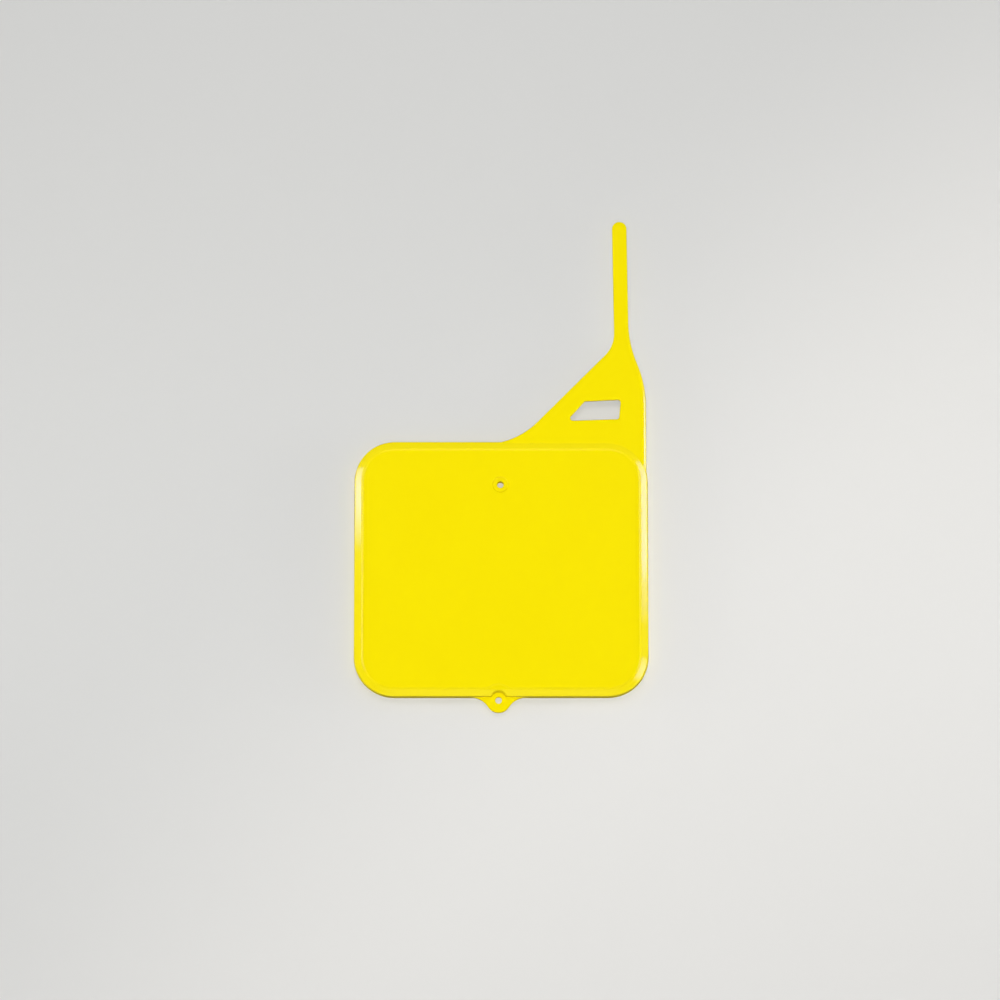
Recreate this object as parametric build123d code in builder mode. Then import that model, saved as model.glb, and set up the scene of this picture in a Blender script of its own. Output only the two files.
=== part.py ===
"""Racing number board: the front plate of an off-road motorcycle, one plastic moulding.

The board lies on its back. X runs to the right across the face, Y runs towards the tongue and
Z points out of the face. The origin is on the axis of the lower fixing hole, in the plane of the
back edge that the board rests on. All lengths are millimetres and all angles are degrees.
"""

import os
from math import cos, radians, sin, tan

from build123d import *

# Moulding
wall = 2.6
side_draft = 3.0
edge_radius = 0.8
hollow_radius = 2.0

# Panel that carries the number
panel_width = 254.0
panel_height = 221.9
panel_depth = 12.0
panel_corner_radius = 35.0
panel_offset = 2.2  # centre line of the panel, right of the lower hole
panel_rise = 2.5  # bottom edge of the panel, above the lower hole

# Raised rim round the face
rim_width = 5.7
rim_slope = 20.0
rim_radius = 1.2
rim_crest = 0.25
face_recess = 0.8
recess_slope = 64.0

# Lower tab and the pocket for its bolt head
tab_radius = 10.5
tab_thickness = 6.0
tab_shoulder_radius = 18.0
pocket_radius = 6.6
pocket_draft = 13.0
pocket_rim_width = 6.0
pocket_mouth_radius = 1.2
pocket_blend_radius = 8.0

# Fixing holes
bolt_diameter = 5.0
bolt_clearance = 0.8
seat_radius = 6.0
seat_depth = 1.2
seat_slope = 45.0
upper_hole_drop = 37.8  # below the top edge of the panel
upper_hole_shift = 0.7  # left of the panel's centre line

# Arm between the panel and the tongue
arm_thickness = 3.0
arm_step = 1.6  # face of the arm, behind the crest of the rim
arm_inset = 1.5  # right edge of the arm, inside the right edge of the panel
arm_straight = 30.4  # straight part of the right edge, above the panel
arm_tuck = 2.4  # root of the arm, inside the top edge of the panel
arm_root_radius = 1.5
bend_radius = 98.4
bend_angle = 22.6
return_step = 0.5  # strip along the right edge, behind the face of the arm
return_width = 2.0
slant_foot = 11.9  # foot of the slanted edge, right of the panel's centre line
slant_height = 83.6
slant_foot_radius = 66.0
slant_top_radius = 27.0

# Tongue that wraps round the handlebar
tongue_width = 12.6
tongue_length = 88.9
tongue_lean = 0.9

# Window through the arm
window_left = 57.0  # lower left corner, right of the panel's centre line
window_base = 18.1  # lower left corner, above the panel
window_width = 45.0
window_height = 16.9
window_rise = 1.4
window_slant = 15.4
window_lean = 1.5
window_corner_radius = 2.2

# Places that follow from the sizes above
panel_top = panel_rise + panel_height
panel_right = panel_offset + panel_width / 2
panel_plane = Plane((panel_offset, panel_rise + panel_height / 2, 0))
lower_hole = panel_plane.to_local_coords(Vector(0, 0, 0))
upper_hole = Vector(panel_offset - upper_hole_shift, panel_top - upper_hole_drop)
hole_radius = (bolt_diameter + bolt_clearance) / 2
face_level = panel_depth - face_recess
face_inset = panel_depth * tan(radians(side_draft)) + rim_width + rim_crest
ceiling = face_level - wall
tab_root = panel_rise + tab_thickness * tan(radians(side_draft))
arm_face = panel_depth - arm_step
arm_back = arm_face - arm_thickness
return_face = arm_face - return_step
arm_right = panel_right - arm_inset
arm_foot = panel_top - panel_corner_radius
slant_bottom = Vector(panel_offset + slant_foot, panel_top - arm_tuck)
tongue_direction = Vector(-sin(radians(tongue_lean)), cos(radians(tongue_lean)))

# Right edge of the arm, from the panel's corner up to the root of the tongue
with BuildLine() as arm_edge:
    upright = Line((arm_right, arm_foot), (arm_right, panel_top + arm_straight))
    lower_bend = JernArc(upright @ 1, upright % 1, bend_radius, bend_angle)
    upper_bend = JernArc(lower_bend @ 1, lower_bend % 1, bend_radius, tongue_lean - bend_angle)
tongue_root = upper_bend @ 1

# Turned-back edge along the right of the arm, deep at the panel and running out at the tongue
with BuildPart() as arm_return:
    with BuildSketch(Plane.XY.offset(return_face)) as return_band:
        with BuildLine():
            add(arm_edge.line)
            offset(amount=wall, side=Side.LEFT)
        make_face()
    extrude(amount=-return_face)
    chamfer(
        arm_return.edges().group_by(Axis.Z)[-1].sort_by(Axis.X)[-1],
        return_width,
        angle=rim_slope,
        reference=arm_return.faces().sort_by(Axis.Z)[-1],
    )
    fillet(arm_return.edges(Select.LAST).filter_by(Plane.XY).group_by(Axis.Z)[0], edge_radius)
    run_out = Vector(0, tongue_root.Y - panel_top, arm_back)
    split(bisect_by=Plane((0, panel_top, 0), x_dir=(1, 0, 0), z_dir=(0, -run_out.Z, run_out.Y)))

# Flat arm with a slanted left edge, a window and the long tongue
with BuildPart() as arm:
    with BuildSketch(Plane.XY.offset(arm_face)) as arm_outline:
        with BuildLine():
            add(arm_edge.line)
            tongue_right = PolarLine(tongue_root, tongue_length - tongue_width / 2, direction=tongue_direction)
            tongue_tip = JernArc(tongue_right @ 1, tongue_direction, tongue_width / 2, 180)
            slant_drop = (tongue_tip @ 1).Y - panel_top - slant_height
            slant_top = tongue_tip @ 1 - tongue_direction * (slant_drop / tongue_direction.Y)
            Polyline(
                tongue_tip @ 1,
                slant_top,
                slant_bottom,
                slant_bottom - (slant_foot_radius, 0),
                (slant_bottom.X - slant_foot_radius, arm_foot),
                upright @ 0,
            )
        make_face()
        fillet(arm_outline.vertices().sort_by_distance(slant_top)[0], slant_top_radius)
        fillet(arm_outline.vertices().sort_by_distance(slant_bottom)[0], slant_foot_radius)
    with BuildSketch(Plane((panel_offset + window_left, panel_top + window_base, arm_face))) as window:
        with BuildLine():
            Polyline(
                (0, 0),
                (window_width, window_rise),
                (window_width + window_lean, window_rise + window_height),
                (window_slant, window_height),
                close=True,
            )
        make_face()
        fillet(window.vertices(), window_corner_radius)
    extrude(arm_outline.sketch, amount=-arm_thickness)
    extrude(window.sketch, amount=-arm_thickness, mode=Mode.SUBTRACT)
    fillet(arm.edges().group_by(Axis.Z)[-1] + arm.edges().group_by(Axis.Z)[0], edge_radius)
    extrude(return_band.sketch, amount=arm_thickness, both=True, mode=Mode.SUBTRACT)
    add(arm_return.part)

# Space behind the panel, with a boss left standing round the bolt pocket
with BuildPart() as hollow:
    with BuildSketch(panel_plane) as hollow_outline:
        Rectangle(panel_width - 2 * wall, panel_height - 2 * wall)
        with Locations(lower_hole):
            Circle(pocket_radius + wall, mode=Mode.SUBTRACT)
        fillet(hollow_outline.vertices().sort_by_distance(lower_hole)[:2], pocket_blend_radius)
        fillet(hollow_outline.vertices().sort_by_distance(lower_hole)[-4:], panel_corner_radius - wall)
    extrude(amount=ceiling, taper=side_draft)
    fillet(hollow.edges().group_by(Axis.Z)[-1], hollow_radius)

with BuildPart() as number_board:
    # Panel with drafted sides and a rim that falls away to them
    with BuildSketch(panel_plane):
        RectangleRounded(panel_width, panel_height, panel_corner_radius)
    extrude(amount=panel_depth, taper=side_draft)
    chamfer(
        number_board.edges().group_by(Axis.Z)[-1],
        rim_width,
        angle=rim_slope,
        reference=number_board.faces().sort_by(Axis.Z)[-1],
    )
    rim_edges = number_board.edges().filter_by(Plane.XY)
    fillet(rim_edges.filter_by_position(Axis.Z, 0, panel_depth, inclusive=(False, True)), rim_radius)

    # Arm rooted in the top of the panel, with a fillet along the foot of the rim
    add(arm.part)
    arm_front = number_board.faces().filter_by(Plane.XY).group_by(Axis.Z)[-2]
    fillet(arm_front.edges().filter_by(lambda edge: edge.bounding_box().max.Y < panel_top), arm_root_radius)

    # Lower tab with shoulders that run out into the bottom edge
    with BuildSketch() as tab:
        with Locations((0, tab_root)):
            Rectangle(panel_width / 2, tab_radius, align=(Align.CENTER, Align.MIN))
        Circle(tab_radius)
        fillet(tab.vertices().sort_by_distance((0, tab_root))[:2], tab_shoulder_radius)
    extrude(amount=tab_thickness)

    # Hollow back
    add(hollow.part, mode=Mode.SUBTRACT)

    # Face set down inside the rim, which bends round the bolt pocket
    with BuildSketch(panel_plane.offset(panel_depth)) as face:
        RectangleRounded(
            panel_width - 2 * face_inset, panel_height - 2 * face_inset, panel_corner_radius - face_inset
        )
        with Locations(lower_hole):
            Circle(pocket_radius + pocket_rim_width, mode=Mode.SUBTRACT)
        fillet(face.vertices().sort_by_distance(lower_hole)[:2], pocket_blend_radius)
    extrude(amount=-face_recess, taper=recess_slope, mode=Mode.SUBTRACT)

    # Pocket for the head of the lower bolt
    with BuildSketch(Plane.XY.offset(tab_thickness)):
        Circle(pocket_radius)
    extrude(amount=panel_depth, taper=-pocket_draft, mode=Mode.SUBTRACT)
    pocket_edges = number_board.faces(Select.LAST).filter_by(GeomType.CONE).edges()
    fillet(
        pocket_edges.filter_by(lambda edge: edge.bounding_box().max.Z > tab_thickness + pocket_mouth_radius),
        pocket_mouth_radius,
    )

    # Sunk seat of the upper bolt, with the wall carried round behind it and a boss to the back plane
    with BuildSketch(Plane.XY.offset(ceiling - seat_depth)):
        with Locations(upper_hole):
            Circle(seat_radius + wall)
    extrude(until=Until.NEXT)
    with BuildSketch():
        with Locations(upper_hole):
            Circle(hole_radius + wall)
    extrude(amount=ceiling, taper=-side_draft)
    with BuildSketch(Plane.XY.offset(face_level - seat_depth)):
        with Locations(upper_hole):
            Circle(seat_radius)
    extrude(amount=seat_depth, taper=-seat_slope, mode=Mode.SUBTRACT)

    # Fixing holes
    with Locations((0, 0, tab_thickness), upper_hole + (0, 0, face_level)):
        Hole(hole_radius)

number_board.part.label = "number_board"
os.makedirs("parts", exist_ok=True)
export_step(number_board.part, "parts/number_board.step")
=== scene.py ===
from math import cos, radians, sin

import bpy
import numpy as np
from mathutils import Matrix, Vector

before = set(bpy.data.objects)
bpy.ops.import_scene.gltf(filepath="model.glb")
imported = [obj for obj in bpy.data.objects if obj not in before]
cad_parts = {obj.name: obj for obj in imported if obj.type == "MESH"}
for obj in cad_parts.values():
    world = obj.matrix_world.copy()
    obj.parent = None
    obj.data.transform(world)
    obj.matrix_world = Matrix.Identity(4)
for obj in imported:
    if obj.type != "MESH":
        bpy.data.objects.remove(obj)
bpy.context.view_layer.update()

# Number board: one injection moulding in self-coloured yellow polypropylene, which bends without
# breaking. The rim, hollow back, arm and tongue come out of one tool, and two bolts through the
# panel and the tongue round the handlebar hold it to the motorcycle.
millimetre = 0.001


def linear(hex_colour):
    """An sRGB hex colour as linear red, green, blue and full alpha."""
    srgb = np.array([int(hex_colour[i : i + 2], 16) for i in (1, 3, 5)]) / 255
    rgb = np.where(srgb <= 0.04045, srgb / 12.92, ((srgb + 0.055) / 1.055) ** 2.4)
    return (*rgb, 1.0)


def add_node(tree, kind, settings=None, links=None):
    """Adds a node, sets its properties or inputs by name, and links sockets into its inputs, which
    are given by name or by number."""
    node = tree.nodes.new(kind)
    for name, value in (settings or {}).items():
        if hasattr(node, name):
            setattr(node, name, value)
        else:
            node.inputs[name].default_value = value
    for name, socket in (links or {}).items():
        tree.links.new(socket, node.inputs[name])
    return node


def yellow_polypropylene():
    """Self-coloured polypropylene as moulded: a saturated even yellow under a soft satin gloss. The
    melt cools a little unevenly, which shifts the tint and the gloss over a hand's width, the flat
    faces sink in low waves, and a fine grain from the tool, drawn coarse enough to show, breaks up
    the highlights. The steep drafted sides are matt."""
    body_colour = linear("#FCE904")
    cool_colour = linear("#FAE402")
    cooling_size = 60 * millimetre
    wave_size = 14 * millimetre
    wave_depth = 0.012 * millimetre
    grain_size = 0.7 * millimetre
    grain_depth = 0.004 * millimetre
    polypropylene_ior = 1.49
    glossy_roughness = 0.15
    dull_roughness = 0.2
    matt_roughness = 0.8
    steep_facing = 0.25  # upward part of the normal where a side is fully matt
    level_facing = 0.6  # upward part of the normal from which a face has its full gloss

    material = bpy.data.materials.new("yellow_polypropylene_satin")
    material.use_nodes = True
    tree = material.node_tree
    shader = tree.nodes["Principled BSDF"]
    shader.inputs["IOR"].default_value = polypropylene_ior
    coordinates = add_node(tree, "ShaderNodeTexCoord")
    place = {"Vector": coordinates.outputs["Object"]}

    cooling = add_node(tree, "ShaderNodeTexNoise", {"Scale": 1 / cooling_size, "Detail": 2.0}, place)
    tint = add_node(tree, "ShaderNodeValToRGB", links={"Fac": cooling.outputs["Fac"]})
    tint.color_ramp.elements[0].color = body_colour
    tint.color_ramp.elements[1].color = cool_colour
    tree.links.new(tint.outputs["Color"], shader.inputs["Base Color"])

    gloss = add_node(
        tree,
        "ShaderNodeMapRange",
        {"To Min": glossy_roughness, "To Max": dull_roughness},
        {"Value": cooling.outputs["Fac"]},
    )
    facing = add_node(tree, "ShaderNodeSeparateXYZ", links={"Vector": coordinates.outputs["Normal"]})
    upward = add_node(tree, "ShaderNodeMath", {"operation": "ABSOLUTE"}, {0: facing.outputs["Z"]})
    matt = add_node(
        tree,
        "ShaderNodeMapRange",
        {"From Min": steep_facing, "From Max": level_facing, "To Min": matt_roughness, "To Max": 0.0},
        {"Value": upward.outputs["Value"]},
    )
    roughness = add_node(
        tree,
        "ShaderNodeMath",
        {"operation": "MAXIMUM"},
        {0: gloss.outputs["Result"], 1: matt.outputs["Result"]},
    )
    tree.links.new(roughness.outputs["Value"], shader.inputs["Roughness"])

    wave = add_node(tree, "ShaderNodeTexNoise", {"Scale": 1 / wave_size, "Detail": 1.0}, place)
    grain = add_node(tree, "ShaderNodeTexNoise", {"Scale": 1 / grain_size, "Detail": 3.0}, place)
    sunk = add_node(
        tree, "ShaderNodeBump", {"Distance": wave_depth}, {"Height": wave.outputs["Fac"]}
    )
    relief = add_node(
        tree,
        "ShaderNodeBump",
        {"Distance": grain_depth},
        {"Height": grain.outputs["Fac"], "Normal": sunk.outputs["Normal"]},
    )
    tree.links.new(relief.outputs["Normal"], shader.inputs["Normal"])
    return material


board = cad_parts["number_board"]
board.data.materials.clear()
board.data.materials.append(yellow_polypropylene())

# Floor: a plain sheet of pale matt paper that the board lies on, much wider than the view. Its colour
# carries a painted light falloff: painted shade on the tongue's side, rising gently to painted light
# towards the lower right, as on a lit studio sweep.
floor_size = 12.0
floor_gap = 0.2 * millimetre


def pale_paper():
    """Matt paper, pale to the eye and in reflections, with a painted light falloff across it. The
    light that it throws back, also under the board's edges, comes from a darker copy of its colour:
    painted shade, so that those edges stay dark."""
    # painted shade and painted light: the paper's colour darkens towards the tongue's side
    painted_shade_tone = linear("#D7D7D5")
    painted_light_tone = linear("#E6E5E2")
    # a darker copy of the paper's colour for the light it throws back: painted shade
    painted_shade_bounce_tone = linear("#858380")
    paper_roughness = 0.9
    rise = (0.7, -0.7, 0.0)
    rise_start = -0.28
    rise_end = 0.12

    material = bpy.data.materials.new("pale_matt_paper")
    material.use_nodes = True
    tree = material.node_tree
    shader = tree.nodes["Principled BSDF"]
    shader.inputs["Roughness"].default_value = paper_roughness
    shader.inputs["Specular IOR Level"].default_value = 0.0
    place = add_node(tree, "ShaderNodeTexCoord").outputs["Object"]
    along = add_node(tree, "ShaderNodeVectorMath", {"operation": "DOT_PRODUCT"}, {0: place})
    along.inputs[1].default_value = rise
    share = add_node(
        tree,
        "ShaderNodeMapRange",
        {"interpolation_type": "SMOOTHSTEP", "From Min": rise_start, "From Max": rise_end},
        {"Value": along.outputs["Value"]},
    )
    tone = add_node(tree, "ShaderNodeValToRGB", links={"Fac": share.outputs["Result"]})
    tone.color_ramp.elements[0].color = painted_shade_tone
    tone.color_ramp.elements[1].color = painted_light_tone

    # camera, glossy and transmission rays see the pale painted tones, other rays the painted-shade
    # copy
    path = add_node(tree, "ShaderNodeLightPath")
    seen = path.outputs["Is Camera Ray"]
    for ray in ("Is Glossy Ray", "Is Transmission Ray"):
        links = {0: seen, 1: path.outputs[ray]}
        seen = add_node(tree, "ShaderNodeMath", {"operation": "MAXIMUM"}, links).outputs["Value"]
    colour_a, colour_b, colour_out = 6, 7, 2  # the Mix node's sockets that hold colours
    links = {"Factor": seen, colour_b: tone.outputs["Color"]}
    colour = add_node(tree, "ShaderNodeMix", {"data_type": "RGBA"}, links)
    colour.inputs[colour_a].default_value = painted_shade_bounce_tone
    tree.links.new(colour.outputs[colour_out], shader.inputs["Base Color"])
    return material


floor_edges = (-floor_size / 2, floor_size / 2)
corner_x, corner_y = np.meshgrid(floor_edges, floor_edges)
corner_z = np.full_like(corner_x, -floor_gap)
corners = np.stack((corner_x, corner_y, corner_z), axis=-1).reshape(-1, 3)
floor_mesh = bpy.data.meshes.new("paper_floor")
floor_mesh.from_pydata(corners.tolist(), [], [(0, 1, 3, 2)])
floor_mesh.materials.append(pale_paper())
floor = bpy.data.objects.new("paper_floor", floor_mesh)
bpy.context.collection.objects.link(floor)

# Studio light: scrims overhead and beyond the tongue and a low fill on each side light the board and
# the floor. They are polarised, as in copy work, and leave no glare. The strips, cards and corner box
# are there for their reflections on the rim alone, in a dim room that is darker overhead.
strip_colour = "#6088FF"
card_colour = "#7898FF"
warm_colour = "#FFEE99"


def soft_box(name, place, target, size, power, colour="#FFFFFF", spread=180.0):
    """A rectangular lamp at a place, turned to face a target. A grid in front of it keeps its light
    inside the angle of its spread, in degrees."""
    lamp = bpy.data.lights.new(name, "AREA")
    lamp.shape = "RECTANGLE"
    lamp.size, lamp.size_y = size
    lamp.energy = power
    lamp.color = linear(colour)[:3]
    lamp.spread = radians(spread)
    box = bpy.data.objects.new(name, lamp)
    box.location = place
    box.rotation_euler = (Vector(target) - Vector(place)).to_track_quat("-Z", "Y").to_euler()
    box.visible_camera = False
    bpy.context.collection.objects.link(box)
    return box


key_lights = (
    soft_box(
        "overhead_scrim",
        place=(0.0, -0.45, 4.3),
        target=(0.0, 0.17, 0.0),
        size=(0.4, 0.4),
        power=132.0,
    ),
    soft_box(
        "tongue_side_scrim",
        place=(0.0, 1.12, 2.0),
        target=(0.0, 0.1, 0.0),
        size=(0.3, 0.5),
        power=7.2,
    ),
    soft_box(
        "left_fill",
        place=(-1.6, 0.12, 0.25),
        target=(0.0, 0.12, 0.0),
        size=(0.5, 0.3),
        power=0.353,
        spread=40.0,
    ),
    soft_box(
        "right_fill",
        place=(1.6, 0.12, 0.25),
        target=(0.0, 0.12, 0.0),
        size=(0.5, 0.3),
        power=0.353,
        spread=40.0,
    ),
)
for box in key_lights:
    box.visible_glossy = False

# A short strip stands just in front of a long one, so that their glow fades along the rim.
reflections = (
    soft_box(
        "left_short_strip",
        place=(-0.2517, 0.2295, 0.1526),
        target=(-0.1765, 0.2295, 0.011),
        size=(0.091, 0.06),
        power=0.0251,
        colour=strip_colour,
        spread=64.0,
    ),
    soft_box(
        "left_long_strip",
        place=(-0.254, 0.219, 0.157),
        target=(-0.1765, 0.219, 0.011),
        size=(0.112, 0.06),
        power=0.0309,
        colour=strip_colour,
        spread=64.0,
    ),
    soft_box(
        "right_short_strip",
        place=(0.2547, 0.2205, 0.1526),
        target=(0.1795, 0.2205, 0.011),
        size=(0.181, 0.06),
        power=0.077,
        colour=strip_colour,
        spread=80.0,
    ),
    soft_box(
        "right_long_strip",
        place=(0.257, 0.2031, 0.157),
        target=(0.1795, 0.2031, 0.011),
        size=(0.2158, 0.06),
        power=0.0514,
        colour=strip_colour,
        spread=80.0,
    ),
    soft_box(
        "left_step_card",
        place=(-0.296, 0.22, 0.36),
        target=(0.122, 0.145, 0.011),
        size=(0.15, 0.095),
        power=0.095,
        colour=card_colour,
    ),
    soft_box(
        "right_step_card",
        place=(0.3, 0.18, 0.36),
        target=(-0.118, 0.105, 0.011),
        size=(0.22, 0.095),
        power=0.125,
        colour=card_colour,
    ),
    soft_box(
        "right_corner_box",
        place=(0.25, 0.0, 0.19),
        target=(0.1235, 0.026, 0.011),
        size=(0.1, 0.047),
        power=0.0103,
        colour=card_colour,
        spread=50.0,
    ),
    soft_box(
        "tab_side_card",
        place=(0.0, -1.25, 1.6),
        target=(0.0, 0.11, 0.01),
        size=(1.2, 0.55),
        power=2.8,
        colour=warm_colour,
    ),
)
for box in reflections:
    box.visible_diffuse = False

side_glow = 0.16
overhead_glow = 0.03
glow_fades_from = 0.75  # upward part of the direction that is looked in
glow_fades_to = 0.95
room = bpy.data.worlds.new("room")
room.use_nodes = True
room_tree = room.node_tree
room_light = room_tree.nodes["Background"]
room_light.inputs["Color"].default_value = linear("#FFFFFF")
outlook = add_node(room_tree, "ShaderNodeTexCoord").outputs["Generated"]
height = add_node(room_tree, "ShaderNodeSeparateXYZ", links={"Vector": outlook})
glow = add_node(
    room_tree,
    "ShaderNodeMapRange",
    {
        "From Min": glow_fades_from,
        "From Max": glow_fades_to,
        "To Min": side_glow,
        "To Max": overhead_glow,
    },
    {"Value": height.outputs["Z"]},
)
room_tree.links.new(glow.outputs["Result"], room_light.inputs["Strength"])
bpy.context.scene.world = room

# Camera: a long lens above the board and nearly square to it, a little towards the tab, with the
# whole board in the middle of a square picture.
picture_pixels = 1000
pixel_size = 0.8654 * millimetre
view_distance = 4.0
view_tilt = radians(8.0)
view_centre = Vector((0.0012, 0.1746, 0.0))
sensor_width = 36.0
camera = bpy.data.objects.new("camera", bpy.data.cameras.new("camera"))
camera.data.sensor_width = sensor_width
camera.data.lens = sensor_width * view_distance / (picture_pixels * pixel_size)
camera.rotation_euler = (view_tilt, 0.0, 0.0)
camera.location = view_centre + view_distance * Vector((0.0, -sin(view_tilt), cos(view_tilt)))
bpy.context.collection.objects.link(camera)
bpy.context.scene.camera = camera

bpy.context.scene.view_settings.view_transform = "Standard"
